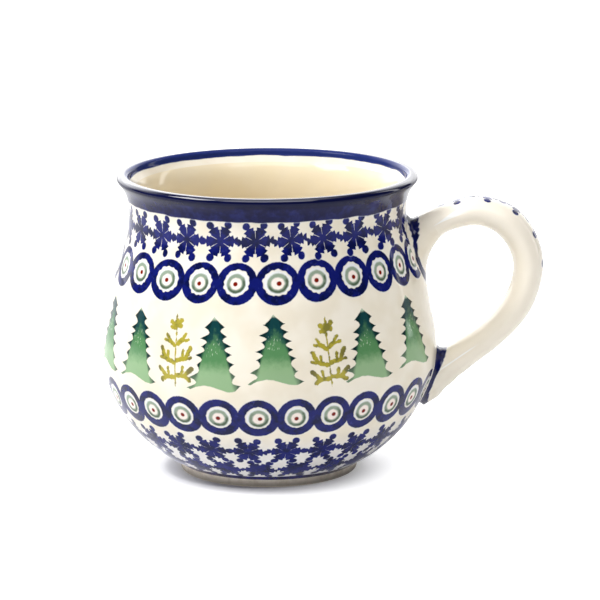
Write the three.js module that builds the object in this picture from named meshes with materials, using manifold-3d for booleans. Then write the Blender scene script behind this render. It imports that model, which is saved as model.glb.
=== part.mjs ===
// A stoneware bubble mug with a pulled ear handle. Millimetres, +Z up.
//
// The mug stands on z = 0 and its handle points along +X. The pieces are modelled round the cup's own
// axis, and the whole mug is then shifted along X so that the origin lies under the middle of its
// bounding box. Neighbouring pieces of clay keep a gap of JOINT_GAP where they meet.
import * as THREE from "three";
import { mergeVertices } from "three/addons/utils/BufferGeometryUtils.js";
import Module from "manifold-3d";

const wasm = await Module();
wasm.setup();

// Driving dimensions.
const HEIGHT = 90.5;
const RIM_RADIUS = 45;
const NECK_RADIUS = 41.5;
const BELLY_RADIUS = 49.65;
const BELLY_HEIGHT = 35.3;
const FOOT_RADIUS = 26.6;
const FOOT_INNER_RADIUS = 20.9;
const FOOT_HEIGHT = 2;
const FOOT_EDGE = 0.5;
const LIP_WIDTH = 3.6;
const LIP_DROP = 1.7;
const WALL = 4.3;
const FLOOR_TOP = 7.5;
const STRAP_HALF_THICKNESS = 4;
const STRAP_HALF_WIDTH = 7;
const STRAP_SLIMMING = 0.3;
const STRAP_ROOT_GROWTH = 0.9;
const JOINT_GAP = 0.3;
const FILLET_EDGE = 0.6;
const MOST_SPREAD = 1.25;

// Fineness of the facets.
const ROUND_SEGMENTS = 72;
const WALL_STEPS = 22;
const LIP_STEPS = 8;
const STRAP_SIDES = 20;
const STRAP_STEPS = 44;
const FILLET_STEPS = 6;
const MERGE_DISTANCE = 1e-4;

const UNDERSIDE = FOOT_HEIGHT + JOINT_GAP;
const point = (radius, height) => new THREE.Vector2(radius, height);

// Outside of the bellied wall, from the foot up to the widest point of the lip.
const outerWall = new THREE.SplineCurve([
  point(FOOT_RADIUS + 0.2, UNDERSIDE),
  point(33.3, 6.4),
  point(38.5, 10.8),
  point(42.6, 15.5),
  point(45.5, 20.1),
  point(47.8, 25),
  point(49.2, 30),
  point(BELLY_RADIUS, BELLY_HEIGHT),
  point(49.05, 42.5),
  point(47.6, 50),
  point(45.95, 59),
  point(43.75, 66),
  point(42.05, 72.2),
  point(NECK_RADIUS, 77.5),
  point(41.75, 81.8),
  point(42.8, 85.2),
  point(RIM_RADIUS, HEIGHT - LIP_DROP),
]);

// Inside of the cup, from the lip down to the middle of the floor.
const innerWall = new THREE.SplineCurve([
  point(RIM_RADIUS - LIP_WIDTH, HEIGHT - LIP_DROP),
  point(39, 85.5),
  point(37.6, 82),
  point(NECK_RADIUS - WALL, 77.5),
  point(37.8, 72.4),
  point(39.4, 66.3),
  point(41.5, 59),
  point(43.2, 50.5),
  point(44.7, 43),
  point(BELLY_RADIUS - WALL, 35.8),
  point(44.7, 30),
  point(42.8, 24.6),
  point(39.8, 19.2),
  point(35.2, 14.2),
  point(27.5, 9.9),
  point(16, 7.8),
  point(0, FLOOR_TOP),
]);

// The rounded lip between the two walls: half an ellipse over the top.
function lipPoints() {
  const middle = RIM_RADIUS - LIP_WIDTH / 2;
  const points = [];
  for (let step = 1; step < LIP_STEPS; step += 1) {
    const angle = (Math.PI * step) / LIP_STEPS;
    const radius = middle + (LIP_WIDTH / 2) * Math.cos(angle);
    points.push(point(radius, HEIGHT - LIP_DROP + LIP_DROP * Math.sin(angle)));
  }
  return points;
}

// Turns a profile of (radius, height) points into a solid of revolution round the Z axis.
function turned(profile) {
  return new THREE.LatheGeometry(profile, ROUND_SEGMENTS).rotateX(Math.PI / 2);
}

// The ear's centre line from inside the neck wall, over the top and down into the belly wall.
const earLine = new THREE.CatmullRomCurve3(
  [
    [38, 68.6],
    [46, 72.6],
    [54.2, 76.6],
    [62.4, 78.75],
    [70.5, 76.1],
    [76.3, 69.4],
    [78.35, 61.3],
    [75.7, 51.5],
    [68.4, 42.1],
    [57.5, 33.9],
    [43.5, 24.2],
  ].map(([x, z]) => new THREE.Vector3(x, 0, z)),
);

// A closed bar of oval section that follows the ear between two stretches of its length (0 to 1).
// size(along) gives the section there: how far it reaches to the outer side of the ear, to its inner
// side, and to each side across it.
function bar(from, to, steps, size) {
  const geometry = new THREE.CylinderGeometry(1, 1, 1, STRAP_SIDES, steps);
  const places = geometry.attributes.position;
  for (let index = 0; index < places.count; index += 1) {
    const along = from + (0.5 + places.getY(index)) * (to - from);
    const middle = earLine.getPointAt(along);
    const tangent = earLine.getTangentAt(along);
    const section = size(along);
    const across = places.getX(index);
    const outward = across * (across > 0 ? section.outer : section.inner);
    const sideways = places.getZ(index) * section.side;
    places.setXYZ(index, middle.x - tangent.z * outward, sideways, middle.z + tangent.x * outward);
  }
  return geometry;
}

// The pulled strap: slimmest halfway down the ear's lower arm, and stouter at its lower root.
const LOWER_ARM = { start: 0.45, end: 0.9 };
const LOWER_ROOT = { start: 0.84, end: 1 };

function strapSize(along, extra = 0) {
  const downArm = THREE.MathUtils.mapLinear(along, LOWER_ARM.start, LOWER_ARM.end, 0, 1);
  const slim = STRAP_SLIMMING * Math.sin(Math.PI * THREE.MathUtils.clamp(downArm, 0, 1));
  const stout = STRAP_ROOT_GROWTH * THREE.MathUtils.smoothstep(along, LOWER_ROOT.start, LOWER_ROOT.end);
  const half = STRAP_HALF_THICKNESS - slim + stout + extra;
  return { outer: half, inner: half, side: STRAP_HALF_WIDTH + stout + extra };
}

// The slip fillet at one end of the ear: the strap's section, flaring towards the wall.
// "end" is the place along the ear where the fillet ends, and "wall" is where its flare is full.
function filletSize(end, wall, flare) {
  return (along) => {
    const spread = THREE.MathUtils.clamp((along - end) / (wall - end), 0, MOST_SPREAD) ** 2;
    const strap = strapSize(along, FILLET_EDGE);
    return {
      outer: strap.outer + flare.outer * spread,
      inner: strap.inner + flare.inner * spread,
      side: strap.side + flare.side * spread,
    };
  };
}

// Booleans: closed geometry in, closed geometry out.
function solid(geometry) {
  const bare = geometry.clone();
  bare.deleteAttribute("normal");
  bare.deleteAttribute("uv");
  const merged = mergeVertices(bare, MERGE_DISTANCE);
  return new wasm.Manifold(
    new wasm.Mesh({
      numProp: 3,
      vertProperties: Float32Array.from(merged.attributes.position.array),
      triVerts: Uint32Array.from(merged.index.array),
    }),
  );
}

function geometryOf(manifold) {
  const mesh = manifold.getMesh();
  const geometry = new THREE.BufferGeometry();
  geometry.setAttribute("position", new THREE.BufferAttribute(mesh.vertProperties, 3));
  geometry.setIndex(new THREE.BufferAttribute(mesh.triVerts, 1));
  geometry.computeVertexNormals();
  return geometry;
}

// The cup's outside filled solid and grown by the joint gap: what the handle's ends are cut back to.
function cupPlug() {
  const grown = outerWall.getSpacedPoints(WALL_STEPS).map((place, index, all) => {
    const before = all[Math.max(index - 1, 0)];
    const after = all[Math.min(index + 1, all.length - 1)];
    const run = after.clone().sub(before).normalize();
    return point(place.x + run.y * JOINT_GAP, place.y - run.x * JOINT_GAP);
  });
  const bottom = point(0, grown[0].y);
  const top = point(0, grown[grown.length - 1].y);
  return solid(turned([bottom, ...grown, top]));
}

function mugBody() {
  const profile = [
    point(0, UNDERSIDE),
    ...outerWall.getSpacedPoints(WALL_STEPS),
    ...lipPoints(),
    ...innerWall.getSpacedPoints(WALL_STEPS - 1),
  ];
  profile[profile.length - 1].x = 0; // exactly on the axis
  return turned(profile);
}

function footRing() {
  const profile = [
    point(FOOT_INNER_RADIUS, FOOT_HEIGHT),
    point(FOOT_INNER_RADIUS, FOOT_EDGE),
    point(FOOT_INNER_RADIUS + FOOT_EDGE, 0),
    point(FOOT_RADIUS - FOOT_EDGE, 0),
    point(FOOT_RADIUS, FOOT_EDGE),
    point(FOOT_RADIUS, FOOT_HEIGHT),
    point(FOOT_INNER_RADIUS, FOOT_HEIGHT),
  ];
  return turned(profile);
}

// Where each slip fillet lies along the ear (0 at its top end, 1 at its lower end), and its flare.
const UPPER_FILLET = { start: 0.001, end: 0.105, wall: 0.035, flare: { outer: 1, inner: 8, side: 1.5 } };
const LOWER_FILLET = { start: 0.999, end: 0.875, wall: 0.955, flare: { outer: 1, inner: 2.2, side: 1.6 } };

function handle() {
  const strap = solid(bar(0, 1, STRAP_STEPS, (along) => strapSize(along)));
  return geometryOf(strap.subtract(cupPlug()));
}

function fillet({ start, end, wall, flare }) {
  const size = filletSize(end, wall, flare);
  const collar = solid(bar(Math.min(start, end), Math.max(start, end), FILLET_STEPS, size));
  const strapRoom = solid(bar(0, 1, STRAP_STEPS, (along) => strapSize(along, JOINT_GAP)));
  return geometryOf(collar.subtract(cupPlug()).subtract(strapRoom));
}

function piece(name, geometry, color, roughness) {
  const material = new THREE.MeshStandardMaterial({ color, roughness, metalness: 0 });
  const mesh = new THREE.Mesh(geometry, material);
  mesh.name = name;
  return mesh;
}

const GLAZED_CREAM = 0xeee6d6;
const BARE_CLAY = 0xcdc2b2;
const COBALT = 0x23267a;
const GLAZE_ROUGHNESS = 0.12;
const CLAY_ROUGHNESS = 0.85;

const mug = new THREE.Group();
mug.add(
  piece("mug_body", mugBody(), GLAZED_CREAM, GLAZE_ROUGHNESS),
  piece("foot_ring", footRing(), BARE_CLAY, CLAY_ROUGHNESS),
  piece("handle", handle(), GLAZED_CREAM, GLAZE_ROUGHNESS),
  piece("handle_joint_upper", fillet(UPPER_FILLET), COBALT, GLAZE_ROUGHNESS),
  piece("handle_joint_lower", fillet(LOWER_FILLET), COBALT, GLAZE_ROUGHNESS),
);

// Shift the cup axis so that the bounding box is centred on the origin.
const bounds = new THREE.Box3().setFromObject(mug, true);
mug.position.x = -(bounds.min.x + bounds.max.x) / 2;

const group = new THREE.Group();
group.add(mug);

export default group;
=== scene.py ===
"""A folk-pattern stoneware bubble mug: its fine surfaces, glaze and stamped decoration.

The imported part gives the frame. The cup's walls are turned again as fine, smooth rings, one for each
band of decoration, and the handle is drawn again as one strap whose ends flow into the wall. Sizes in
this script are millimetres round the cup's own axis, and place() turns them into the frame's metres.
"""
import bisect
import math
from functools import partialmethod

import bpy
from mathutils import Matrix, Vector


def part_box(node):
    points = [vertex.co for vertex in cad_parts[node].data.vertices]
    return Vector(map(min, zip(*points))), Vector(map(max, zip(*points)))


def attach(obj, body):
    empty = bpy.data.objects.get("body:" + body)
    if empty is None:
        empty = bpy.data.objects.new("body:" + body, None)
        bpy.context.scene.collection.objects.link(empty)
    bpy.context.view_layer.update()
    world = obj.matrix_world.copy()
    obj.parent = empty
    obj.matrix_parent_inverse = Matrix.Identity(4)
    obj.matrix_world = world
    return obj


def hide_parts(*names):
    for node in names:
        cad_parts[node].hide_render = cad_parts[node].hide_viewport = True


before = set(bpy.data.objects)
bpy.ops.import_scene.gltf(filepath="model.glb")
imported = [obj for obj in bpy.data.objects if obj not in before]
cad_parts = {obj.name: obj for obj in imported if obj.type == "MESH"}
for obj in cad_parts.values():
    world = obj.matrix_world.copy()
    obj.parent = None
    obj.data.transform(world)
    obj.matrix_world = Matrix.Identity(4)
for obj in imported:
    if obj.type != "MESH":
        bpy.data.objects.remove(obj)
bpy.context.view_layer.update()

# ---- Sizes, in millimetres ----
MM = 0.001
DEGREE = math.pi / 180
body_low, body_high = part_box("mug_body")
foot_low, foot_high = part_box("foot_ring")

CUP_X = (body_low.x + body_high.x) / 2 / MM
LIP_BELOW_BOX = 0.5
HEIGHT = body_high.z / MM - LIP_BELOW_BOX
UNDERSIDE = body_low.z / MM
FOOT_RADIUS = (foot_high.y - foot_low.y) / 2 / MM

RIM_RADIUS = 45
NECK_RADIUS = 41.5
BELLY_RADIUS = 49.65
LIP_WIDTH = 3.6
LIP_DROP = 1.7
LIP_FLAT = 0.8
WALL = 4.3
SKIN = 2
FOOT_INNER_RADIUS = 20.9
FOOT_EDGE = 0.6

AROUND = 288
ROW_STEP = 0.6
HIDDEN_STEP = 4
HANDLE_SIDE_BULGE = 1.35
SHARP_FROM = 50 * DEGREE


def place(x, y, z):
    """A point given round the cup axis in millimetres, as the frame's metres."""
    return ((CUP_X + x) * MM, y * MM, z * MM)


def spline(points, step, evenness=0.0):
    """Points about one step apart on a smooth curve through the given points.

    evenness 0 gives every span the same time; 0.5 gives longer spans more, which rounds tight turns.
    """
    points = [Vector(p) for p in points]
    points = [2 * points[0] - points[1], *points, 2 * points[-1] - points[-2]]
    line = []
    for before, start, end, after in zip(points, points[1:], points[2:], points[3:]):
        first = (start - before).length ** evenness
        span = (end - start).length ** evenness
        last = (after - end).length ** evenness
        chord = (end - start) / span
        leave = ((start - before) / first - (end - before) / (first + span) + chord) * span
        arrive = (chord - (after - start) / (span + last) + (after - end) / last) * span
        count = max(1, round((end - start).length / step))
        for k in range(count):
            t = k / count
            line.append(
                (2 * start - 2 * end + leave + arrive) * t**3
                + (3 * end - 3 * start - 2 * leave - arrive) * t**2
                + leave * t
                + start
            )
    return line + [points[-2]]


# Outside of the wall from the foot to the widest point of the lip, as (radius, height).
OUTER_WALL = [
    (FOOT_RADIUS + 0.2, UNDERSIDE), (33.3, 6.4), (38.5, 10.8), (42.6, 15.5), (45.5, 20.1), (47.8, 25),
    (49.2, 30), (BELLY_RADIUS, 35.3), (49.05, 42.5), (47.6, 50), (45.95, 59), (43.75, 66), (42.05, 72.2),
    (NECK_RADIUS, 77.5), (41.75, 81.8), (42.8, 85.2), (RIM_RADIUS, HEIGHT - LIP_DROP),
]

# Inside of the cup from the lip to the middle of the floor.
INNER_WALL = [
    (RIM_RADIUS - LIP_WIDTH, HEIGHT - LIP_DROP), (39, 85.5), (37.6, 82), (NECK_RADIUS - WALL, 77.5),
    (37.8, 72.4), (39.4, 66.3), (41.5, 59), (43.2, 50.5), (44.7, 43), (BELLY_RADIUS - WALL, 35.8),
    (44.7, 30), (42.8, 24.6), (39.8, 19.2), (35.2, 14.2), (27.5, 9.9), (16, 7.8), (0, 7.5),
]

# The heights where the outer bands meet: foot, lower eyes, forest, upper eyes and snowflakes.
BAND_EDGES = (18.4, 31.6, 57.9, 70.9)
RIM_BAND_BOTTOM = 81.2
RIM_BAND_INSIDE = 86.2


def lip_line():
    """The rounded lip, from its outermost point over the top to the start of the inside."""
    half = LIP_WIDTH / 2
    steps = 16
    line = []
    for k in range(steps + 1):
        angle = math.pi * k / steps
        across = math.copysign(abs(math.cos(angle)) ** LIP_FLAT, math.cos(angle))
        up = math.sin(angle) ** LIP_FLAT
        line.append(Vector((RIM_RADIUS - half + half * across, HEIGHT - LIP_DROP + LIP_DROP * up)))
    return line


outer_line = spline(OUTER_WALL, ROW_STEP)
inner_line = spline(INNER_WALL, ROW_STEP * 1.5)


def with_length(line, start=0.0):
    """Adds to each point its length along the line: (radius, height, length)."""
    out = []
    length = start
    for i, p in enumerate(line):
        if i:
            length += (p - line[i - 1]).length
        out.append((p.x, p.y, length))
    return out


outer_rows = with_length(outer_line)
lip_rows = with_length(lip_line(), outer_rows[-1][2])
inner_rows = with_length(inner_line, lip_rows[-1][2])
outer_heights = [row[1] for row in outer_rows]


def outer_radius(height):
    """Radius of the outer wall at a height."""
    i = min(max(bisect.bisect(outer_heights, height), 1), len(outer_rows) - 1)
    low = outer_rows[i - 1]
    high = outer_rows[i]
    t = min(1, max(0, (height - low[1]) / (high[1] - low[1])))
    return low[0] + t * (high[0] - low[0])


def smooth(t):
    t = min(1, max(0, t))
    return t * t * (3 - 2 * t)


def wobble(angle, height):
    """How far the thrown wall strays from round, in millimetres: most where the handle was pressed on."""
    pressed = max(0, math.sin(angle)) ** 3 * smooth((height - 20) / 18) * smooth((80 - height) / 13)
    return (
        HANDLE_SIDE_BULGE * pressed
        + 0.10 * math.sin(2 * angle + 0.7 + height / 60)
        + 0.06 * math.sin(3 * angle + 2.1 - height / 25)
        + 0.03 * math.sin(5 * angle + height / 11)
    )


# ---- Turned pieces ----
def add_object(name, data):
    thing = bpy.data.objects.new(name, data)
    bpy.context.scene.collection.objects.link(thing)
    return thing


def make_mesh(name, points, faces, layers):
    """A smooth-shaded mesh object. layers maps a UV layer's name to one (u, v) for each face corner."""
    mesh = bpy.data.meshes.new(name)
    mesh.from_pydata(points, [], faces)
    for layer_name, values in layers.items():
        layer = mesh.uv_layers.new(name=layer_name)
        flat = [number for pair in values for number in pair]
        layer.data.foreach_set("uv", flat)
    mesh.polygons.foreach_set("use_smooth", [True] * len(mesh.polygons))
    mesh.set_sharp_from_angle(angle=SHARP_FROM)
    return add_object(name, mesh)


def turn(name, rows, closed):
    """Turns (radius, height, length) rows round the cup axis.

    Angles start at the back and are 0 at the front, where -Y is, and positive towards the handle.
    The UV layer "Wall" holds the angle in degrees and the length along the wall in millimetres.
    """
    points = []
    starts = []
    for radius, height, _ in rows:
        starts.append(len(points))
        if radius < 1e-6:
            points.append(place(0, 0, height))
            continue
        for k in range(AROUND):
            angle = -math.pi + 2 * math.pi * k / AROUND
            reach = radius + wobble(angle, height) * min(1, radius / 20)
            points.append(place(reach * math.sin(angle), -reach * math.cos(angle), height))
    faces = []
    wall = []
    pairs = list(zip(range(len(rows)), range(1, len(rows))))
    if closed:
        pairs.append((len(rows) - 1, 0))
    for i, j in pairs:
        for k in range(AROUND):
            near = 360 * k / AROUND - 180
            far = 360 * (k + 1) / AROUND - 180
            after = (k + 1) % AROUND
            face = [starts[i], starts[i], starts[j], starts[j]]
            corner = [(near, rows[i][2]), (far, rows[i][2]), (far, rows[j][2]), (near, rows[j][2])]
            if rows[i][0] >= 1e-6:
                face[0] += k
                face[1] += after
            if rows[j][0] >= 1e-6:
                face[2] += after
                face[3] += k
            if face[0] == face[1]:
                del face[1], corner[1]
            elif face[2] == face[3]:
                del face[3], corner[3]
            faces.append(face)
            wall.extend(corner)
    return make_mesh(name, points, faces, {"Wall": wall})


def row_at(rows, height):
    """The row at a height on a wall whose rows climb or fall all the way."""
    for a, b in zip(rows, rows[1:]):
        if min(a[1], b[1]) <= height <= max(a[1], b[1]) and a[1] != b[1]:
            t = (height - a[1]) / (b[1] - a[1])
            return tuple(p + t * (q - p) for p, q in zip(a, b))
    return min((rows[0], rows[-1]), key=lambda row: abs(row[1] - height))


def between(rows, low, high):
    """The rows of a wall between two heights, with rows exactly at both ends."""
    part = [r for r in rows if low + 0.05 < r[1] < high - 0.05]
    ends = [row_at(rows, low), row_at(rows, high)]
    if rows[0][1] > rows[-1][1]:
        ends.reverse()
    return [ends[0], *part, ends[1]]


def inset(rows, depth):
    """Rows moved into the clay by depth, coarser, and in reverse order: a ring's hidden side."""
    moved = []
    last = len(rows) - 1
    step = max(1, round(HIDDEN_STEP / ROW_STEP))
    chosen = sorted(set(range(0, last, step)) | {last}, reverse=True)
    for i in chosen:
        a = rows[max(i - 1, 0)]
        b = rows[min(i + 1, last)]
        along = Vector((b[0] - a[0], b[1] - a[1])).normalized()
        moved.append((rows[i][0] - along.y * depth, rows[i][1] + along.x * depth, rows[i][2]))
    return moved


def level_ends(ring, rows):
    """Puts a hidden side's two ends at the heights of the ring's ends, so its caps lie flat."""
    ring[0] = (ring[0][0], rows[-1][1], ring[0][2])
    ring[-1] = (ring[-1][0], rows[0][1], ring[-1][2])
    return ring


def outer_band(name, low, high):
    rows = between(outer_rows, low, high)
    return turn(name, rows + level_ends(inset(rows, SKIN), rows), closed=True)


def rim_band():
    """The cobalt rim: outside of the flare, the lip, and a little of the inside."""
    outside = between(outer_rows, RIM_BAND_BOTTOM, HEIGHT - LIP_DROP)
    inside = between(inner_rows, RIM_BAND_INSIDE, HEIGHT - LIP_DROP)
    rows = outside + lip_rows[1:-1] + inside
    shared = [(outer_radius(h) - SKIN, h, 0.0) for h in (RIM_BAND_INSIDE, 84, 82.6, RIM_BAND_BOTTOM)]
    return turn("rim_band", rows + shared, closed=True)


def cup_inside():
    rows = between(inner_rows, inner_rows[-1][1] + 0.02, RIM_BAND_INSIDE)
    rows = [*rows[:-1], inner_rows[-1]]
    hidden = inset(rows, SKIN)
    hidden[-1] = (hidden[-1][0], RIM_BAND_INSIDE, 0.0)
    hidden[0] = (0.0, rows[-1][1] - SKIN, 0.0)
    return turn("cup_inside", rows + hidden, closed=False)


def foot_band():
    """The lowest band of the bowl, with the glazed underside inside the foot ring."""
    rows = between(outer_rows, UNDERSIDE + 0.001, BAND_EDGES[0])
    under = [(FOOT_RADIUS * k / 12, UNDERSIDE, -20.0) for k in range(13)]
    hidden = inset(rows, SKIN)
    hidden[0] = (hidden[0][0], rows[-1][1], 0.0)
    hidden[-1] = (FOOT_RADIUS - 1, UNDERSIDE + SKIN, 0.0)
    return turn("foot_band", under + rows + hidden + [(0.0, UNDERSIDE + SKIN, 0.0)], closed=False)


def foot_ring():
    """The bare clay ring, its edges worn round."""
    def edge(radius, start):
        steps = 5
        turns = [start + k / steps * math.pi / 2 for k in range(steps + 1)]
        return [(radius + FOOT_EDGE * math.cos(a), FOOT_EDGE + FOOT_EDGE * math.sin(a)) for a in turns]

    top = UNDERSIDE + 0.04
    inner_edge = FOOT_INNER_RADIUS + FOOT_EDGE
    outline = [(FOOT_INNER_RADIUS, top), (FOOT_INNER_RADIUS, 1.6), *edge(inner_edge, math.pi)]
    outline += [(inner_edge + k, 0.0) for k in (1, 2, 3, 4)] + edge(FOOT_RADIUS - FOOT_EDGE, 1.5 * math.pi)
    outline += [(FOOT_RADIUS, 1.2), (FOOT_RADIUS, 1.7), (FOOT_RADIUS, top)]
    return turn("foot", [(radius, height, 0.0) for radius, height in outline], closed=True)


# ---- The handle ----
# The strap's middle line from the neck to the belly, as (distance from the cup's axis, height).
EAR_LINE = [
    (38, 68.6), (46, 72.6), (54.2, 76.6), (62.4, 78.75), (70.5, 76.1), (76.3, 69.4),
    (78.35, 61.3), (75.7, 51.5), (68.4, 42.1), (57.5, 33.9), (43.5, 24.2),
]
STRAP_HALF_THICKNESS = 4
STRAP_HALF_WIDTH = 7
STRAP_SIDES = 72
STRAP_STEP = 0.7
LOWER_FLARE = 2
CREASE_GAP = 0.05
OFF_STRAP = (0.0, -50.0)
UPPER_JOINT_LENGTH = 13
LOWER_JOINT_LENGTH = 16
# The strap's extra thickness on its outer and inner side, by share of its length.
OUTER_FULLNESS = [
    (0, 0.2), (0.13, 0.2), (0.2, -0.1), (0.28, 0), (0.36, 0.65), (0.45, 0.35), (0.53, 0.35),
    (0.63, 0.75), (0.72, 0.55), (0.8, 0.65), (0.85, 0.9), (0.885, 0.8), (0.93, 0), (1, -0.5),
]
INNER_FULLNESS = [
    (0, 0), (0.16, 0.1), (0.24, 0.75), (0.32, 0.95), (0.52, 0.85),
    (0.6, 0.65), (0.7, 0.4), (0.84, 0.45), (0.92, 0.2), (1, 0),
]


def drawn(stops, at):
    """The height of a drawn curve, eased from one stop to the next."""
    for (a, low), (b, high) in zip(stops, stops[1:]):
        if at <= b:
            return low + (high - low) * smooth((at - a) / (b - a))
    return stops[-1][1]


def wall_gap(x, y, z):
    """How far a point lies outside the cup's wall."""
    radius = math.hypot(x, y) - wobble(math.atan2(x, -y), z)
    slope = (outer_radius(z + 1) - outer_radius(z - 1)) / 2
    return (radius - outer_radius(z)) / math.hypot(1, slope)


def fillet(gap, size):
    """How far a fillet of this radius stands off the strap at this distance from the wall."""
    if gap >= size:
        return 0.0
    rest = size - max(gap, 0)
    return size - math.sqrt(max(size * size - rest * rest, 0))


def root_fillet(upper, turn_angle):
    """Fillet radius round a root of the handle; 0 degrees is the ear's outer side, 180 its inner."""
    inner = (1 - math.cos(turn_angle)) / 2
    if upper:
        return 2.2 + 9.5 * inner**3
    return 1.4 + 2 * inner


class Strap:
    """The pulled strap as a grid of points: one ring of STRAP_SIDES points for each step."""

    def __init__(self):
        self.centre = spline(EAR_LINE, STRAP_STEP, evenness=0.5)
        self.length = [0.0]
        for a, b in zip(self.centre, self.centre[1:]):
            self.length.append(self.length[-1] + (b - a).length)
        self.total = self.length[-1]
        made = [self.ring(i) for i in range(len(self.centre))]
        self.rings = [points for points, _ in made]
        self.gaps = [gaps for _, gaps in made]
        self.back = [0.0]
        for a, b in zip(self.rings, self.rings[1:]):
            self.back.append(self.back[-1] + (b[0] - a[0]).length)
        middle = self.rings[len(self.rings) // 2]
        self.around = [0.0]
        for a, b in zip(middle, middle[1:] + middle[:1]):
            self.around.append(self.around[-1] + (b - a).length)
        self.crease = [self.from_crease(k) for k in range(STRAP_SIDES)]

    def ring(self, i):
        """One section's points, and how far each lies outside the cup's wall."""
        last = len(self.centre) - 1
        run = (self.centre[min(i + 1, last)] - self.centre[max(i - 1, 0)]).normalized()
        out = Vector((-run.y, run.x))
        along = self.length[i] / self.total
        slim = 0.3 * math.sin(math.pi * min(1, max(0, (along - 0.45) / 0.45)))
        stout = 0.9 * smooth((along - 0.84) / 0.16)
        half = STRAP_HALF_THICKNESS - slim + stout
        side = STRAP_HALF_WIDTH + stout
        flare = LOWER_FLARE * min(1, max(0, (along - 0.87) / 0.085)) ** 1.2
        fuller = drawn(OUTER_FULLNESS, along)
        points = []
        gaps = []
        for k in range(STRAP_SIDES):
            a = 2 * math.pi * k / STRAP_SIDES
            size = root_fillet(along < 0.5, a)
            outer_side = (1 + math.cos(a)) / 2
            base = (flare + fuller) * outer_side + drawn(INNER_FULLNESS, along) * (1 - outer_side)
            extra = 0.0
            for _ in range(12):
                reach = base + extra
                x = self.centre[i].x + out.x * (half + reach) * math.cos(a)
                z = self.centre[i].y + out.y * (half + reach) * math.cos(a)
                y = -(side + reach) * math.sin(a)
                gap = wall_gap(x, y, z)
                if extra == 0 and gap > size:
                    break
                extra += 0.4 * (fillet(gap, size) - extra)
            points.append(Vector((x, y, z)))
            gaps.append(gap)
        return points, gaps

    def from_crease(self, k):
        """Each ring's distance along the surface from the nearer crease with the wall, on one line."""
        count = len(self.rings)
        steps = [(self.rings[i + 1][k] - self.rings[i][k]).length for i in range(count - 1)]
        half = count // 2
        first = next(i for i in range(1, half) if self.gaps[i][k] > CREASE_GAP)
        last = next(i for i in range(count - 2, half, -1) if self.gaps[i][k] > CREASE_GAP)
        before = self.past_crease(first, first - 1, k) * steps[first - 1]
        after = self.past_crease(last, last + 1, k) * steps[last]
        from_start = [before + sum(steps[first:i]) - sum(steps[i:first]) for i in range(half)]
        from_end = [after + sum(steps[i:last]) - sum(steps[last:i]) for i in range(half, count)]
        return from_start + from_end

    def past_crease(self, outside, inside, k):
        """How far past the crease the outside ring lies, as a share of the step from the inside one."""
        high, low = self.gaps[outside][k], self.gaps[inside][k]
        return min(1, (high - CREASE_GAP) / max(high - low, 1e-6))

    def piece(self, name, first, last):
        """The stretch of strap between two rings, closed by a fan at each end."""
        rings = self.rings[first : last + 1]
        count = STRAP_SIDES
        points = [place(*p) for ring in rings for p in ring]
        faces = []
        strap = []
        root = []
        for i in range(len(rings) - 1):
            for k in range(count):
                j = (k + 1) % count
                corners = [(i + 1, k, k), (i + 1, j, k + 1), (i, j, k + 1), (i, k, k)]
                faces.append([a * count + b for a, b, _ in corners])
                for a, b, turn_count in corners:
                    strap.append((self.around[turn_count], self.back[first + a]))
                    root.append((turn_count * 360 / count, self.crease[b][first + a]))
        for ring, start, flip in ((rings[0], 0, False), (rings[-1], (len(rings) - 1) * count, True)):
            middle = sum(ring, Vector()) / count
            points.append(place(*middle))
            centre = len(points) - 1
            for k in range(count):
                fan = [centre, start + k, start + (k + 1) % count]
                faces.append(fan[::-1] if flip else fan)
                strap.extend([OFF_STRAP] * 3)
                root.extend([OFF_STRAP] * 3)
        return make_mesh(name, points, faces, {"Strap": strap, "Root": root})


# ---- Material building blocks ----
def srgb(red, green, blue):
    """A colour given in 0 to 255 display steps, as linear light."""
    linear = []
    for value in (red, green, blue):
        c = value / 255
        linear.append(c / 12.92 if c <= 0.04045 else ((c + 0.055) / 1.055) ** 2.4)
    return (*linear, 1.0)


def feed(tree, value, socket):
    """Links a Field or another node's output to a socket, or sets a plain number or colour on it."""
    if isinstance(value, Field):
        value = value.socket
    if isinstance(value, bpy.types.NodeSocket):
        tree.links.new(value, socket)
    else:
        socket.default_value = value


def add_node(tree, kind, inputs=(), **properties):
    """A new shader node. inputs feeds its sockets: a list in their order, or a dict by name or number."""
    node = tree.nodes.new("ShaderNode" + kind)
    for name, value in properties.items():
        setattr(node, name, value)
    for key, value in inputs.items() if isinstance(inputs, dict) else enumerate(inputs):
        feed(tree, value, node.inputs[key])
    return node


def split(tree, socket):
    """The three parts of a vector or colour."""
    kind = "SeparateColor" if socket.type == "RGBA" else "SeparateXYZ"
    return [Field(tree, out) for out in add_node(tree, kind, [socket]).outputs]


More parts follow.
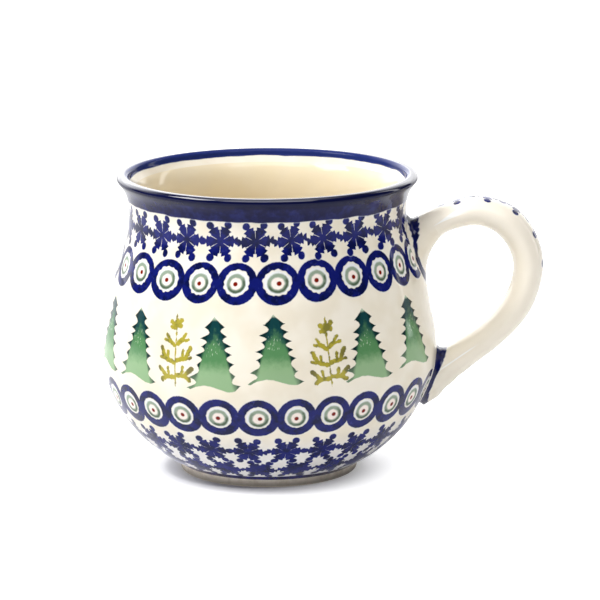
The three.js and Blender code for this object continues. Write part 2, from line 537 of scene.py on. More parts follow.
class Field:
    """A number that varies over a surface. Arithmetic on it adds Math nodes to its material."""

    def __init__(self, tree, socket):
        self.tree = tree
        self.socket = socket

    def math(self, operation, *others):
        node = add_node(self.tree, "Math", (self, *others), operation=operation)
        return Field(self.tree, node.outputs[0])

    __add__ = __radd__ = partialmethod(math, "ADD")
    __mul__ = __rmul__ = partialmethod(math, "MULTIPLY")
    __sub__ = partialmethod(math, "SUBTRACT")
    __truediv__ = partialmethod(math, "DIVIDE")
    abs = partialmethod(math, "ABSOLUTE")
    sign = partialmethod(math, "SIGN")
    sin = partialmethod(math, "SINE")
    cos = partialmethod(math, "COSINE")
    floor = partialmethod(math, "FLOOR")
    fraction = partialmethod(math, "FRACT")
    least = partialmethod(math, "MINIMUM")
    most = partialmethod(math, "MAXIMUM")
    power = partialmethod(math, "POWER")

    def __rsub__(self, other):
        return self * -1 + other

    def __neg__(self):
        return self * -1

    def bearing(self, x):
        """The angle in radians of the point whose height is this number and whose side step is x."""
        return self.math("ARCTAN2", x)

    def wrap(self, half):
        """Brings the number into -half to half by whole turns."""
        return self.math("WRAP", half, -half)

    def length_with(self, other):
        return (self * self + other * other).math("SQRT")

    def smoothly(self, low, high):
        """0 below low, 1 above high, and a soft step between."""
        inputs = {"Value": self, "From Min": low, "From Max": high}
        node = add_node(self.tree, "MapRange", inputs, interpolation_type="SMOOTHSTEP")
        return Field(self.tree, node.outputs["Result"])

    def inside(self, soft=0.12):
        """Coverage of a shape from its signed distance, which is positive inside."""
        return self.smoothly(-soft, soft)

    def graph(self, stops, reach, tall):
        """A drawn function of this number, from 0 to reach, with heights up to tall."""
        node = add_node(self.tree, "ValToRGB", [self / reach])
        elements = node.color_ramp.elements
        while len(elements) < len(stops):
            elements.new(1.0)
        for element, (at, value) in zip(elements, stops):
            element.position = at / reach
            grey = value / tall
            element.color = (grey, grey, grey, 1)
        return Field(self.tree, node.outputs["Color"]) * tall


# The specular level of plain glaze and of clay.
SHINE = 0.25


class Paint:
    """A glazed material in the making: its node tree, its coordinates and its coats of colour."""

    def __init__(self, name):
        self.material = bpy.data.materials.new(name)
        self.material.use_nodes = True
        self.tree = self.material.node_tree
        self.tree.nodes.clear()
        self.shader = add_node(self.tree, "BsdfPrincipled")
        add_node(self.tree, "OutputMaterial", {"Surface": self.shader.outputs["BSDF"]})
        self.place = add_node(self.tree, "TexCoord").outputs["Object"]
        self.colour = None

    def join(self, *parts):
        """A vector from up to three numbers."""
        return add_node(self.tree, "CombineXYZ", parts).outputs[0]

    def uv(self, layer):
        node = add_node(self.tree, "UVMap", uv_map=layer)
        return split(self.tree, node.outputs["UV"])[:2]

    def radius(self):
        """Distance from the cup axis in millimetres."""
        x, y, _ = split(self.tree, self.place)
        return (x - CUP_X * MM).length_with(y) / MM

    def noise(self, size, detail=1.0, roughness=0.5, shift=0.0, colour=False):
        """Noise whose bumps are about size millimetres wide, from 0 to 1 round 0.5."""
        source = self.place
        if shift:
            moved = [source, (shift, shift * 0.7, shift * 1.3)]
            source = add_node(self.tree, "VectorMath", moved, operation="ADD").outputs[0]
        inputs = {"Vector": source, "Scale": 1 / (size * MM), "Detail": detail, "Roughness": roughness}
        node = add_node(self.tree, "TexNoise", inputs)
        if colour:
            return [c - 0.5 for c in split(self.tree, node.outputs["Color"])]
        return Field(self.tree, node.outputs["Fac"])

    def chance(self, *keys):
        """Three steady random numbers, 0 to 1, for whole-number keys such as a stamp's place."""
        node = add_node(self.tree, "TexWhiteNoise", {"Vector": self.join(*keys)})
        return split(self.tree, node.outputs["Color"])

    def blend(self, under, over, amount):
        """A colour mixed from two colours, each a tuple or a socket."""
        node = add_node(self.tree, "Mix", [amount], data_type="RGBA")
        colours = [s for s in node.inputs if s.type == "RGBA"]
        feed(self.tree, under, colours[0])
        feed(self.tree, over, colours[1])
        return next(s for s in node.outputs if s.type == "RGBA")

    def coat(self, colour, amount):
        """Lays a colour over what is there."""
        self.colour = colour if self.colour is None else self.blend(self.colour, colour, amount)

    def finish(self, roughness, bump, depth, shine=SHINE):
        """The finished material. depth is the bump's height in millimetres."""
        height = {"Height": bump, "Distance": depth * MM}
        look = {
            "Base Color": self.colour,
            "Roughness": roughness,
            "Specular IOR Level": shine,
            "Normal": add_node(self.tree, "Bump", height).outputs["Normal"],
        }
        for name, value in look.items():
            feed(self.tree, value, self.shader.inputs[name])
        return self.material


# ---- Colours ----
INSIDE_TINT = srgb(238, 224, 192)
CREAM = srgb(234, 225, 206)
CREAM_PALE = srgb(241, 234, 219)
# The handle's cream, lighter than the cup's: painted light.
HANDLE_CREAM_PAINTED_LIGHT = srgb(243, 235, 220)
# Pale of the painted highlights along the handle's sides.
HIGHLIGHT_PALE = srgb(255, 255, 252)
SPECK = srgb(120, 96, 78)
COBALT_DEEP = srgb(11, 18, 66)
COBALT = srgb(17, 25, 102)
COBALT_THIN = srgb(52, 60, 134)
RIM_COBALT = srgb(12, 14, 62)
RIM_COBALT_THIN = srgb(30, 36, 98)
# Darkest cobalt: painted shade over the lip, and the deep middle of the brushed strokes at the roots.
DEEP_COBALT_AND_LIP_SHADE = srgb(10, 14, 50)
RIM_INSIDE = srgb(40, 54, 118)
# Bluish-grey of the faint halo round stamps, also laid over the lower wall as painted shade.
HALO_AND_PAINTED_SHADE = srgb(206, 212, 228)
EYE_WHITE = srgb(228, 234, 240)
EYE_MIDDLE = srgb(248, 232, 222)
SAGE = srgb(128, 148, 124)
SAGE_DARK = srgb(64, 82, 62)
RED = srgb(122, 24, 10)
TREE_TOP = srgb(20, 62, 66)
TREE_MIDDLE = srgb(86, 135, 88)
TREE_FOOT = srgb(140, 174, 130)
TREE_TIP = srgb(14, 42, 44)
TREE_FLECK = srgb(206, 226, 196)
OLIVE = srgb(168, 156, 28)
OLIVE_DARK = srgb(116, 110, 12)
OLIVE_TIP = srgb(58, 56, 16)
CLAY = srgb(240, 230, 214)
CLAY_DARK = srgb(210, 198, 180)
# Painted shade on the foot's lowest edge.
CLAY_PAINTED_SHADE = srgb(120, 112, 102)


def ground(paint):
    """The cream body under clear glaze, slightly cloudy, with a few iron specks."""
    paint.coat(CREAM, None)
    paint.coat(CREAM_PALE, paint.noise(9, 2).smoothly(0.35, 0.7))
    cell = 9
    cells = add_node(paint.tree, "TexVoronoi", {"Vector": paint.place, "Scale": 1 / (cell * MM)})
    near = Field(paint.tree, cells.outputs["Distance"]) * cell
    chosen = split(paint.tree, cells.outputs["Color"])[0]
    speck = (0.16 - near).inside(0.06) * chosen.smoothly(0.8, 0.82)
    paint.coat(SPECK, speck * 0.7)


def ink(paint, shape, soft=0.13):
    """Stamped cobalt: deep and uneven inside, thin at its edge, with a faint halo round it."""
    ragged = shape + (paint.noise(0.7, 1) - 0.5) * 0.25
    paint.coat(HALO_AND_PAINTED_SHADE, ragged.smoothly(-0.45, 0.0) * 0.45)
    tone = paint.blend(COBALT, COBALT_DEEP, paint.noise(3.5, 2, 0.6).smoothly(0.42, 0.62))
    tone = paint.blend(tone, COBALT_THIN, paint.noise(1.6, 2, 0.6, 3.0).smoothly(0.56, 0.78) * 0.55)
    paint.coat(tone, ragged.inside(soft))


def glaze(paint, shine=SHINE):
    """Clear gloss glaze: long soft ripples and a very fine orange peel."""
    ripple = paint.noise(11, 1) + paint.noise(1.3, 1) * 0.05
    return paint.finish(0.09, ripple, 0.06, shine)


# A stamp's largest shift by hand, and the cup's usual width, which turns shifts into shares of a row.
MOST_SHIFT = 4
STAMPED_ACROSS = 90
# How far the noise moves stamps round the cup and up it.
DRIFT_ACROSS = 4.5
DRIFT_UP = 3.5


class Wall:
    """Wall coordinates with the drift of hand stamping: angle in degrees, height along the wall in mm."""

    def __init__(self, paint):
        self.paint = paint
        self.angle, height = paint.uv("Wall")
        self.height = height - ROWS_RAISED
        self.radius = paint.radius()
        drift = paint.noise(26, 0, colour=True)
        self.drift = (drift[0] * DRIFT_ACROSS, drift[1] * DRIFT_UP)
        self.wave = (self.angle * DEGREE).sin()

    def set_by_hand(self, settings):
        """A stamp's shift by angle round the cup, as far as MOST_SHIFT either way."""
        stops = [(angle + 180, shift + MOST_SHIFT) for angle, shift in settings]
        return (self.angle + 180).graph(stops, 360, 2 * MOST_SHIFT) - MOST_SHIFT

    def row(self, count, first, height, tilt, loose, settings):
        """The nearest stamp of a row: x and y in mm from its centre, and its whole-number place."""
        pitch = 360 / count
        turn_count = (self.angle - first) / pitch
        spacing = math.pi * STAMPED_ACROSS / count
        middle = turn_count + (self.drift[0] * loose - self.set_by_hand(settings)) / spacing
        place_number = (middle + 0.5).floor()
        x = (middle - place_number) * (pitch * DEGREE) * self.radius
        y = self.height - height - self.wave * tilt + self.drift[1] * 0.35 * loose
        return x, y, place_number.wrap(count / 2)


# ---- Stamps ----
SNOW_DOT_AT = 5.4
SNOW_DOT = 1.15
# Half the width of one snowflake arm along its length: a fan with two barbs, then a neck.
SNOW_ARM = [
    (0, 1), (0.9, 0.48), (1.3, 0.62), (3, 1.53), (3.15, 1.22), (4.05, 1.62), (4.3, 0.5), (5.4, 0.35), (6, 0),
]


def snowflake(x, y, turned=0.0, fuller=0.0):
    """Signed distance of a six-armed stamp, a round dot on each arm. fuller widens the arms by mm a side."""
    reach = x.length_with(y)
    bearing = (y.bearing(x) + turned).wrap(30 * DEGREE)
    along = reach * bearing.cos()
    across = (reach * bearing.sin()).abs()
    arm = (along.graph(SNOW_ARM, 6.6, 2) + fuller - across).least(5.8 - along)
    dot = SNOW_DOT - (along - SNOW_DOT_AT).length_with(across)
    return arm.most(dot)


def stamp_snowflakes(wall, row, fuller):
    x, y, _ = wall.row(*row)
    ink(wall.paint, snowflake(x, y, wall.drift[1] * 0.12, fuller))


EYE_OUTER = 6.15


def stamp_eyes(wall, row, inner, jagged):
    """A chain of cobalt rings, each round a pale disc, a sage ring and a red dot."""
    paint = wall.paint
    x, y, number = wall.row(*row)
    reach = x.length_with(y)
    bearing = y.bearing(x)
    facets = (bearing * 13 + number).cos() * 0.1 + (bearing * 2 + number * 2).cos() * 0.12
    facets = (facets + (bearing * 5 + number * 3).sin().most(0.6) * 0.5 - 0.3) * jagged
    disc = x.length_with(y - 0.3) - inner - facets
    ink(paint, (EYE_OUTER - reach).least(disc))
    chance = paint.chance(number, row[0])
    off_x = (chance[0] - 0.35) * 0.7
    off_y = (chance[1] - 0.5) * 0.5
    sage_reach = (x - off_x * 0.4).length_with(y - 0.1 - off_y * 0.5)
    paint.coat(EYE_WHITE, (-disc).smoothly(0.1, 0.7) * 0.7)
    paint.coat(EYE_MIDDLE, (1.9 - sage_reach).smoothly(-0.3, 0.3) * 0.8)
    rough = (paint.noise(1.1, 1) - 0.5) * 0.35
    sage = 0.56 - (sage_reach - 2.28).abs() + rough
    paint.coat(SAGE, sage.inside(0.3) * 0.9)
    low = (paint.noise(2.6, 1, shift=1.0) - 0.5) * 3.4 - y * 0.42 + x * 0.18
    spots = (0.34 - (sage_reach - 2.42).abs() + rough).inside(0.3) * low.smoothly(-0.8, 0.5)
    paint.coat(SAGE_DARK, spots * 0.9)
    red = 0.66 - (x - off_x * 1.3).length_with(y - off_y * 1.2) + rough * 0.4
    paint.coat(RED, red.inside(0.16))


TREE_TALL = 21
# The fir is drawn a little larger than it is stamped, and its curves end TREE_DEEP below its top.
TREE_PRINT = 0.97
TREE_DEEP = 22.5
# Its sides, by distance down from its top: the number of teeth passed, and how far their tips reach.
TEETH_LEFT = [(0, 0.76), (2.9, 1), (6.2, 2), (8.2, 3), (13.5, 5), (16.9, 6), (20, 7), (22.5, 7.8)]
TEETH_RIGHT = [(0, 0.76), (2.6, 1), (12.9, 5), (16.5, 6), (19.8, 7), (22.5, 7.8)]
TIPS_LEFT = [
    (0, 0), (2.9, 2.5), (6.2, 3.6), (8.2, 3.2), (10.9, 4.7), (13.5, 4.4), (16.9, 6.4), (20, 7), (22.5, 7.4),
]
TIPS_RIGHT = [
    (0, 0), (2.6, 3), (5.1, 3.9), (7.7, 5.1), (10.3, 5.4), (13, 6.4), (16.5, 6.8), (19.8, 8.6), (22.5, 9.6),
]
# One tooth, from its tip through the bay below it to the next tip.
TOOTH = [(0, 1.1), (0.06, 0.92), (0.2, 0.36), (0.42, 0), (0.6, 0.1), (0.84, 0.74), (0.96, 1.06), (1, 1.1)]
# The fir's lower edge, from left to right, as the distance down from its top.
TREE_HEM = [
    (0, 22), (2.6, 20.8), (5.5, 19.5), (8, 19), (10, 19.2),
    (12, 19.8), (14.8, 20.6), (17, 20.7), (18.7, 20.1), (20, 19.4),
]


def tree_shape(x, y, number):
    """Signed distance of a fir whose foot is at y 0, how far down it is, and how far out along a tooth."""
    down = (TREE_TALL - y) * TREE_PRINT
    x = x * TREE_PRINT
    right = x.sign() * 0.5 + 0.5
    teeth = down.graph(TEETH_LEFT, TREE_DEEP, 8)
    teeth = teeth + (down.graph(TEETH_RIGHT, TREE_DEEP, 8) - teeth) * right
    tip = down.graph(TIPS_LEFT, TREE_DEEP, 10)
    tip = tip + (down.graph(TIPS_RIGHT, TREE_DEEP, 10) - tip) * right
    notch = (down * (right * 0.05 + 0.23) + right * 0.8 + 0.25).least(down * 0.9)
    uneven = (teeth.floor() * 2.4 + number * 1.7 + right).sin() * 0.25
    out = tip + uneven - notch
    edge = notch + out * teeth.fraction().graph(TOOTH, 1, 2) - x.abs()
    hem = (x + 10).graph(TREE_HEM, 20, 24) - down
    return (edge * 0.75).least(hem).least(down * 2 + 0.3), down, (x.abs() - notch) / out


def stamp_trees(wall, x, y, number):
    paint = wall.paint
    shape, down, out = tree_shape(x, y, number)
    cloud = (paint.noise(1.3, 2, 0.6) - 0.5) * 6
    depth = down + cloud - out.most(-1.2) * 2.6
    tone = paint.blend(TREE_TOP, TREE_MIDDLE, depth.smoothly(5.3, 12.6))
    tone = paint.blend(tone, TREE_FOOT, (down + cloud * 0.5).smoothly(11.5, 16.5))
    spot = paint.join(x * 2.6, down * 0.75, number * 9)
    strands = add_node(paint.tree, "TexNoise", {"Vector": spot, "Scale": 1.0, "Detail": 1.0})
    fleck = Field(paint.tree, strands.outputs["Fac"]).smoothly(0.62, 0.7)
    fleck = fleck * (3 - (down - 8.5).abs()).smoothly(0, 1.5) * (2.4 - x.abs()).smoothly(0, 1)
    tone = paint.blend(tone, TREE_FLECK, fleck * 0.75)
    dark = (out + cloud * 0.04).smoothly(-0.25, 0.4) * ((20 - down).smoothly(0, 7) * 0.5 + 0.5)
    ends = (x.abs() - 6.8).smoothly(0, 1.6) * (down - 17).smoothly(0, 1)
    tone = paint.blend(tone, TREE_TIP, dark.most(ends * 0.85))
    shade = shape + (paint.noise(0.6, 1) - 0.5) * 0.16
    paint.coat(tone, shade.inside(0.14))
    pale = (1.2 - down + cloud * 0.1).smoothly(0, 1) * 0.7
    paint.coat(TREE_FLECK, pale * shape.inside(0.14))


STEM = 0.24
LIMB = 0.7
TWIG = 0.5
TUFT = 0.72
# Half of the sprig stamp, right of its stem: straight strokes from (x, y) to (x, y) and their thickness.
BRANCH_LINES = [
    ((0, 0), (0, 16.4), STEM), ((0.6, 11.4), (2.2, 12.7), LIMB),
    ((2.2, 12.7), (3.2, 14.3), TWIG), ((2, 12.4), (4.1, 12.7), TWIG),
    ((0.1, 6.5), (3.4, 7.3), LIMB), ((3.6, 7.4), (4.9, 10.4), LIMB),
    ((2.5, 7.2), (2.6, 9.4), TWIG), ((3.5, 7.2), (5.3, 7.6), TWIG),
    ((0.1, 2.4), (3.2, 2.3), LIMB), ((3.2, 2.4), (5.6, 4.6), LIMB),
    ((2.2, 2.6), (2.6, 4.8), TWIG), ((3.2, 2.3), (4.7, 1.3), LIMB),
    ((0, 16.6), (1.5, 16.6), TUFT), ((0, 16.6), (1.7, 18.3), TUFT),
    ((0, 16.8), (0, 18.3), TUFT), ((0, 18), (0, 20), STEM),
]


def line_distance(tree, spot, start, end):
    """Distance of a spot in the plane from a straight line between two points."""
    def vector(operation, inputs):
        return add_node(tree, "VectorMath", inputs, operation=operation).outputs

    run = (end[0] - start[0], end[1] - start[1])
    squared = run[0] ** 2 + run[1] ** 2
    away = vector("SUBTRACT", [spot, (*start, 0)])[0]
    dot = vector("DOT_PRODUCT", [away, (run[0] / squared, run[1] / squared, 0)])["Value"]
    share = Field(tree, dot).most(0.0).least(1.0)
    nearest = vector("SCALE", {0: (*run, 0), "Scale": share})[0]
    return Field(tree, vector("DISTANCE", [away, nearest])["Value"])


def stamp_branches(wall, x, y, strength):
    """A fern-like sprig: a leaning stem, three pairs of forked limbs and a tuft on top."""
    paint = wall.paint
    lean = x + (y - 6) * 0.07
    side = lean.sign()
    lifted = y - side * 0.3
    spot = paint.join(lean.abs(), lifted)
    shape = None
    for start, end, thick in BRANCH_LINES:
        stroke = thick - line_distance(paint.tree, spot, start, end)
        shape = stroke if shape is None else shape.most(stroke)
    shape = shape + (paint.noise(0.9, 1) - 0.5) * 0.85
    tone = paint.blend(OLIVE, OLIVE_DARK, paint.noise(2.2, 2, shift=2.0).smoothly(0.45, 0.66))
    tips = lean.abs() + (paint.noise(3, 0) - 0.5) * 4
    tone = paint.blend(tone, OLIVE_TIP, tips.smoothly(4.0, 5.8) * 0.75)
    paint.coat(tone, shape.inside(0.16) * strength)


# ---- The decorated materials ----
ROWS_RAISED = 0.35
RIM_EDGE = 90.2
INSIDE_EDGE = 102.7
# Each row of stamps: how many, the angle of the first, height along the wall, tilt, looseness, and the
# shift of each stamp as it was set by hand, by angle round the cup.
UPPER_SNOW = (24, -5.2, 84.3, 0.6, 1, [
    (-120, 0), (-75, 2.8), (-61, 2.6), (-47, 2.4), (-34, 1.1), (-19, 1), (-5, -0.2),
    (9, -0.5), (22, -1.3), (37, -0.9), (55, 1.2), (70, 1.8), (80, 1.2), (100, 0),
])
UPPER_EYES = (24, 4.0, 72.3, 1.0, 1, [
    (-65, 0), (-42, 0.8), (-28, 0.7), (-12, 0), (2, -0.9), (16, -0.6),
    (30, 0), (46, 0), (59, -1.5), (72, -3.5), (105, 0),
])
LOWER_EYES = (27, -3.2, 32.3, 0.7, 0.2, [
    (-100, 0), (-57, -0.6), (-44, -1), (-31, -0.8), (-17, -0.1),
    (10, 0.1), (23, -0.5), (36, -0.9), (48, -1.3), (61, -1.9), (120, 0),
])
LOWER_SNOW = (24, 7.0, 19.3, 0.4, 0.2, [(-180, 0), (0, 0.2)])
FOOT_SNOW = (21, -4.0, 8.8, 0.4, 0.2, [
    (-60, 0), (-37, 1.3), (-21, 0.4), (-4, 0), (13, 0), (33, 2.1), (80, 0),
])
# How far each chain's pale disc reaches, and how ragged its edge is.
UPPER_DISC = (3.82, 1)
LOWER_DISC = (3.65, 0.3)
HANDLE_SNOW_FROM = 14.2
HANDLE_SNOW_PITCH = 9.4
# How far the handle's stamps drift off its middle line, by distance along it.
HANDLE_SNOW_SHIFT = [(0, 2), (23.4, 2.2), (33, 1.8), (42, 1.3), (52, 2), (62, 2.3), (71, 4.4), (120, 4.6)]
# How far above the line the firs were stamped, and how far to the right, by angle round the cup.
FIRS_SET_UP = [
    (-115, 0), (-85, -1.1), (-60, -1.6), (-12, -1.5), (-5, 0.5), (14, 0.5),
    (22, -0.4), (48, -0.4), (52, 0.9), (80, 0.9), (95, 0),
]
FIRS_SET_RIGHT = [(-40, 0), (-12, -0.4), (-5, -1.4), (14, -1.4), (22, -0.6), (48, -0.6), (52, 0)]
FOREST_BASE = 42.4
FOREST_WARP = 5.2
FOREST_PERIOD = 60
BRANCH_AT = 24
TREES_AT = (40, 64)
HANDLE_AT = 90
# How far the brushed stroke at each root goes from the crease, by turn from the ear's outer side.
UPPER_STROKE = [(0, 3.6), (45, 4.1), (90, 4.3), (135, 3), (180, 2)]
LOWER_STROKE = [(0, 1), (22, 1.2), (42, 2.2), (62, 4.1), (75, 4.3), (95, 3.4), (180, 3.1)]


def collar_paint():
    """Cobalt rim, snowflakes and the upper chain of eyes."""
    paint = Paint("stamped_collar")
    ground(paint)
    wall = Wall(paint)
    stamp_eyes(wall, UPPER_EYES, *UPPER_DISC)
    stamp_snowflakes(wall, UPPER_SNOW, fuller=0.1)
    brush = wall.height + (paint.noise(7, 1) - 0.5) * 1.1 + wall.wave * 0.1
    shape = (brush - RIM_EDGE).least(INSIDE_EDGE - brush)
    ink(paint, shape, soft=0.2)
    streaks = paint.noise(4, 3, 0.6, 5.0).smoothly(0.4, 0.75)
    start = lip_rows[0][2] - ROWS_RAISED
    crest = lip_rows[len(lip_rows) // 2][2] - ROWS_RAISED
    # Painted shade: the cobalt is darker over the lip, from just below its outermost point to its crest.
    lip = (wall.height - start).smoothly(-2.4, -1.2) * (crest - wall.height).smoothly(-1.5, 0.2)
    tone = paint.blend(RIM_COBALT, RIM_COBALT_THIN, streaks)
    tone = paint.blend(tone, DEEP_COBALT_AND_LIP_SHADE, lip * 0.9)
    paint.coat(tone, shape.inside(0.2))
    past = (wall.height - crest).smoothly(0.2, 0.9)
    paint.coat(RIM_INSIDE, past * shape.inside(0.2) * 0.8)
    neck = wall.height.smoothly(66, 76)
    shine = (wall.height - start).smoothly(0.6, 1.8) * (1 - past) * 0.81
    return glaze(paint, shine + SHINE - neck * 0.06 - past * 0.11)


def forest_paint():
    """Firs and sprigs all the way round, two firs to each sprig."""
    paint = Paint("stamped_forest")
    ground(paint)
    wall = Wall(paint)
    stamp_eyes(wall, UPPER_EYES, *UPPER_DISC)
    turned = wall.angle + wall.wave * FOREST_WARP
    per_degree = wall.radius * DEGREE / (1 + FOREST_WARP * DEGREE)
    y = wall.height - FOREST_BASE + wall.drift[1] * 0.5
    first = (turned - TREES_AT[0]).wrap(FOREST_PERIOD / 2)
    second = (turned - TREES_AT[1]).wrap(FOREST_PERIOD / 2)
    nearer = (second.abs() - first.abs()).sign() * 0.5 + 0.5
    x = (first * nearer + second * (1 - nearer)) * per_degree
    number = ((turned - BRANCH_AT) / FOREST_PERIOD).floor().wrap(3)
    branch_x = (turned - BRANCH_AT).wrap(FOREST_PERIOD / 2) * per_degree
    away_from_handle = ((wall.angle - HANDLE_AT).abs() - 20).smoothly(0, 0.1) * 0.95
    left_sprig = (-wall.angle).smoothly(0, 0.1) * 0.6
    stamp_branches(wall, branch_x - left_sprig + wall.drift[0] * 0.3, y + 0.55, away_from_handle)
    up = wall.set_by_hand(FIRS_SET_UP)
    right = wall.set_by_hand(FIRS_SET_RIGHT)
    stamp_trees(wall, x - right + wall.drift[0] * 0.3, y - up, number + nearer)
    stamp_eyes(wall, LOWER_EYES, *LOWER_DISC)
    return glaze(paint)


def base_paint():
    """The lower chain of eyes, two rows of snowflakes and the line above the foot."""
    paint = Paint("stamped_base")
    ground(paint)
    wall = Wall(paint)
    # Painted shade: a bluish-grey tint over the lower wall, deeper towards the foot.
    paint.coat(HALO_AND_PAINTED_SHADE, (27 - wall.height).smoothly(0, 9) * 0.4)
    stamp_snowflakes(wall, FOOT_SNOW, fuller=0.25)
    stamp_snowflakes(wall, LOWER_SNOW, fuller=0.16)
    stamp_eyes(wall, LOWER_EYES, *LOWER_DISC)
    line = 1.9 - (wall.height - 0.9 + (paint.noise(9, 1) - 0.5) * 0.5).abs()
    ink(paint, line)
    return glaze(paint, wall.height.smoothly(10, 32) * 0.17 + 0.08)


def cream_paint():
    paint = Paint("cream_glaze")
    ground(paint)
    paint.coat(INSIDE_TINT, paint.noise(14, 2, shift=4.0).smoothly(0.2, 0.7) * 0.3 + 0.6)
    return glaze(paint)


def painted_side_highlights(paint):
    """Painted highlights: a thin pale line along the side of the strap's lower arm, and a pale wedge near
    its top.
    """
    around, along = paint.uv("Strap")
    lower = (0.2 - (around - 10.6).abs()).inside(0.12)
    lower = lower * (along - 94).smoothly(0, 6) * (112 - along).smoothly(0, 5)
    wedge = (along - 12.5).smoothly(0, 14) * 2.6
    above = (9 - around).inside(0.15) * (around - 9.1 + wedge).inside(0.3)
    upper = above * (along - 13).smoothly(0, 1.5) * (27 - along).smoothly(0, 6)
    paint.coat(HIGHLIGHT_PALE, (lower + upper).least(1.0) * 0.9)


def handle_paint(whole):
    """Snowflakes down the back of the strap, drifting off its middle line, on cream."""
    paint = Paint("stamped_handle")
    ground(paint)
    # The strap's cream painted lighter than the cup's: painted light.
    paint.coat(HANDLE_CREAM_PAINTED_LIGHT, 0.85)
    painted_side_highlights(paint)
    around, along = paint.uv("Strap")
    x = around.wrap(whole / 2) + along.graph(HANDLE_SNOW_SHIFT, 120, 5)
    count = (along - HANDLE_SNOW_FROM) / HANDLE_SNOW_PITCH
    y = (count - (count + 0.5).floor()) * HANDLE_SNOW_PITCH
    limit = (along - 17.3).least(96 - along)
    ink(paint, snowflake(x, y).least(limit))
    return glaze(paint)


def root_paint(name, reach, ragged, lift_side, lift_outer):
    """The strap's root: cream, with a brushed cobalt stroke along the crease where it meets the wall.

    reach is how far the stroke goes from the crease, by turn from the ear's outer side; the lifts start it
    away from the crease at the strap's sides and outer side.
    """
    paint = Paint(name)
    ground(paint)
    # The root's cream painted a little lighter than the cup's: painted light.
    paint.coat(HANDLE_CREAM_PAINTED_LIGHT, 0.35)
    painted_side_highlights(paint)
    turned, away = paint.uv("Root")
    turn_cos = (turned * DEGREE).cos()
    width = (180 - (turned - 180).abs()).graph(reach, 180, 6)
    swell = (paint.noise(5, 1) - 0.5) * ragged
    lift = (1 - turn_cos * turn_cos) * lift_side + turn_cos.most(0.0).power(2.0) * lift_outer
    stroke = (away + 0.6 - lift).least(width + swell - away)
    ink(paint, stroke, soft=0.25)
    paint.coat(DEEP_COBALT_AND_LIP_SHADE, (stroke - 0.2).inside(0.4) * 0.6)
    return glaze(paint)


def clay_paint():
    """Bare fired stoneware: sandy, matt, and darker at its lowest edge as painted shade."""
    paint = Paint("bare_clay")
    paint.coat(CLAY, None)
    paint.coat(CLAY_DARK, paint.noise(3, 3, 0.6).smoothly(0.4, 0.7) * 0.8)
    # Painted shade: darker towards the bottom edge, where the foot meets the floor.
    paint.coat(CLAY_PAINTED_SHADE, (2.4 - split(paint.tree, paint.place)[2] / MM).smoothly(0, 2.2) * 0.75)
    grain = paint.noise(0.35, 2, 0.6)
    paint.coat(SPECK, grain.smoothly(0.66, 0.8) * 0.5)
    return paint.finish(0.8, grain + paint.noise(1.5, 2) * 0.6, 0.08)


# ---- Camera, lights and floor ----
CAMERA_ELEVATION = 12 * DEGREE
CAMERA_ROLL = -0.17 * DEGREE
CAMERA_DISTANCE = 1.2
CAMERA_LENS = 239.5
# What the camera aims at: millimetres right of, and up the picture from, the cup's axis at mid-height.
AIM_RIGHT = 9.62
AIM_UP = 5.92
MID_HEIGHT = 45
KEY_WATTS = 18.5
TOP_WATTS = 12.5
WORLD_BACK_LEFT = 1.3
WORLD_TOP = 1.4
WORLD_FRONT = 0.03
WORLD_LEFT = 1.45
WORLD_RIGHT = 0.8
SIDE_WINDOW = 4.6
FLOOR_LIGHT = 0.12
FLOOR_HALF = 4


def add_camera():
    """Eye a little above the rim, 1.2 m away, square to the handle."""
    camera = add_object("camera", bpy.data.cameras.new("camera"))
    camera.data.lens = CAMERA_LENS
    camera.data.sensor_width = 36
    camera.data.clip_start = 0.05
    camera.data.clip_end = 50
    rise, run = math.sin(CAMERA_ELEVATION), math.cos(CAMERA_ELEVATION)
    target = Vector(place(0, 0, MID_HEIGHT)) + Vector((AIM_RIGHT, AIM_UP * rise, AIM_UP * run)) * MM
    back = Vector((0, -run, rise))
    camera.location = target + back * CAMERA_DISTANCE
    level = (-back).to_track_quat("-Z", "Y")
    camera.rotation_mode = "QUATERNION"
    camera.rotation_quaternion = level @ Matrix.Rotation(CAMERA_ROLL, 3, "Z").to_quaternion()
    bpy.context.scene.camera = camera


def add_light(name, spot, target, width, height, watts):
    data = bpy.data.lights.new(name, "AREA")
    data.shape = "RECTANGLE"
    data.size = width
    data.size_y = height
    data.energy = watts
    light = add_object(name, data)
    light.location = spot
    light.rotation_mode = "QUATERNION"
    light.rotation_quaternion = (Vector(target) - light.location).to_track_quat("-Z", "Y")


def add_world():
    """White behind and overhead, softboxes at both sides, a narrow window on the right, dark in front."""
    world = bpy.data.worlds.new("studio")
    world.use_nodes = True
    tree = world.node_tree
    way = add_node(tree, "TexCoord").outputs["Generated"]
    right, back, up = split(tree, way)
    # 0 towards the camera and pi straight behind the cup, positive on the right.
    bearing = right.bearing(-back)
    behind = bearing.smoothly(2.45, 2.51) + (-bearing).smoothly(2.05, 2.35) * WORLD_BACK_LEFT
    window = bearing.smoothly(1.94, 1.96) * (2.09 - bearing).smoothly(0.0, 0.02)
    low = (0.75 - up).smoothly(0.0, 0.2)
    horizon = (0.5 - up).smoothly(0.0, 0.2) * behind
    overhead = up.smoothly(0.8, 0.97)
    sides = (-bearing).smoothly(1.6, 2.0) * WORLD_LEFT + bearing.smoothly(2.1, 2.4) * WORLD_RIGHT
    softbox = sides * up.smoothly(0.2, 0.35) * low
    strength = behind * low + window * SIDE_WINDOW * low + overhead * WORLD_TOP + horizon + WORLD_FRONT
    background = tree.nodes["Background"]
    background.inputs["Color"].default_value = (1, 1, 1, 1)
    feed(tree, strength + softbox, background.inputs["Strength"])
    bpy.context.scene.world = world


def add_lights():
    middle = (0, 0, 0.05)
    add_light("key_left", (-1.0, -0.27, 1.15), middle, 0.7, 0.6, KEY_WATTS)
    add_light("top_front", (0.0, -0.8, 1.4), middle, 1.6, 0.5, TOP_WATTS)


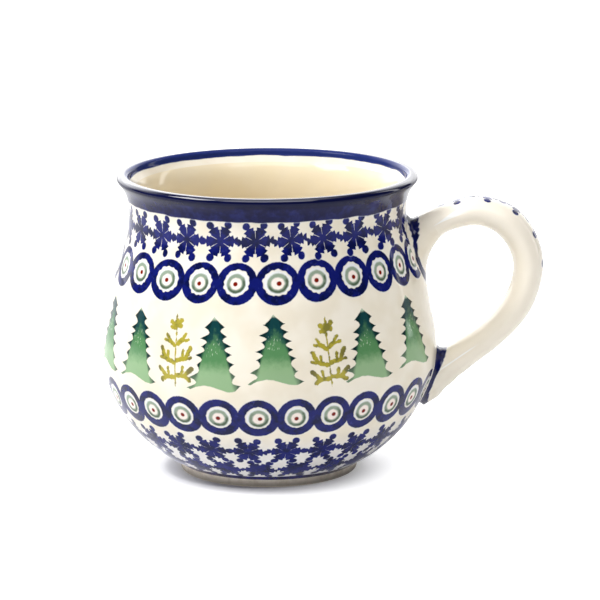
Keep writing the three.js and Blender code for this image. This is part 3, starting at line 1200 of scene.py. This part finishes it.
def add_floor():
    mesh = bpy.data.meshes.new("floor")
    half = FLOOR_HALF
    corners = [(-half, -half, 0), (half, -half, 0), (half, half, 0), (-half, half, 0)]
    mesh.from_pydata(corners, [], [(0, 1, 2, 3)])
    floor = add_object("floor", mesh)
    material = bpy.data.materials.new("floor")
    material.use_nodes = True
    shader = material.node_tree.nodes["Principled BSDF"]
    shader.inputs["Base Color"].default_value = (0.8, 0.8, 0.8, 1)
    shader.inputs["Roughness"].default_value = 0.9
    shader.inputs["Specular IOR Level"].default_value = 0
    shader.inputs["Emission Color"].default_value = (1, 1, 1, 1)
    tree = material.node_tree
    seen = Field(tree, add_node(tree, "LightPath").outputs["Is Camera Ray"])
    x, y = [part / MM for part in split(tree, add_node(tree, "TexCoord").outputs["Object"])[:2]]
    # The floor glows. Seen by the camera it is dimmed round the foot: a painted contact shadow. To other
    # rays it glows with FLOOR_LIGHT, and more within 14 mm of the foot, fading out to the right: a painted
    # pool of light on the foot and the bowl's underside.
    away = (x - CUP_X + 3).length_with(y) - FOOT_RADIUS
    painted_contact_shadow = (3 - away).smoothly(0, 3) * 0.17
    shown = away.smoothly(0, 13) * 0.45 + away.smoothly(8, 30) * 0.35 + 0.19 - painted_contact_shadow
    left = (CUP_X + 30 - x).smoothly(0, 28)
    glow_with_painted_light_pool = (14 - away).smoothly(0, 8) * left * 0.35 + FLOOR_LIGHT
    glow = shown * seen + glow_with_painted_light_pool * (1 - seen)
    feed(tree, glow, shader.inputs["Emission Strength"])
    mesh.materials.append(material)


# ---- Put together ----
def dress(piece, material, slot, *nodes):
    piece.data.materials.append(material)
    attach(piece, "root")
    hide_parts(*nodes)


add_camera()
add_world()
add_lights()
add_floor()

collar = collar_paint()
forest = forest_paint()
base = base_paint()
foot_end, eyes_end, forest_end, collar_end = BAND_EDGES
cup_bands = [
    (foot_band(), base),
    (outer_band("lower_eye_band", foot_end, eyes_end), base),
    (outer_band("forest_band", eyes_end, forest_end), forest),
    (outer_band("upper_eye_band", forest_end, collar_end), collar),
    (outer_band("snowflake_band", collar_end, RIM_BAND_BOTTOM), collar),
    (rim_band(), collar),
    (cup_inside(), cream_paint()),
]
for band, material in cup_bands:
    dress(band, material, "stamped_glaze", "mug_body")

dress(foot_ring(), clay_paint(), "bare_clay", "foot_ring")

strap = Strap()
upper_cut = next(i for i, l in enumerate(strap.length) if l > UPPER_JOINT_LENGTH)
lower_cut = next(i for i, l in enumerate(strap.length) if l > strap.total - LOWER_JOINT_LENGTH)
middle = strap.piece("handle_strap", upper_cut, lower_cut)
dress(middle, handle_paint(strap.around[-1]), "stamped_glaze", "handle")
upper = strap.piece("upper_root", 0, upper_cut)
upper_blue = root_paint("upper_root", UPPER_STROKE, ragged=0.7, lift_side=2.5, lift_outer=0)
dress(upper, upper_blue, "cobalt_glaze", "handle_joint_upper")
lower = strap.piece("lower_root", lower_cut, len(strap.rings) - 1)
lower_blue = root_paint("lower_root", LOWER_STROKE, ragged=0.8, lift_side=1, lift_outer=0.7)
dress(lower, lower_blue, "cobalt_glaze", "handle_joint_lower")

bpy.context.scene.view_settings.view_transform = "Standard"
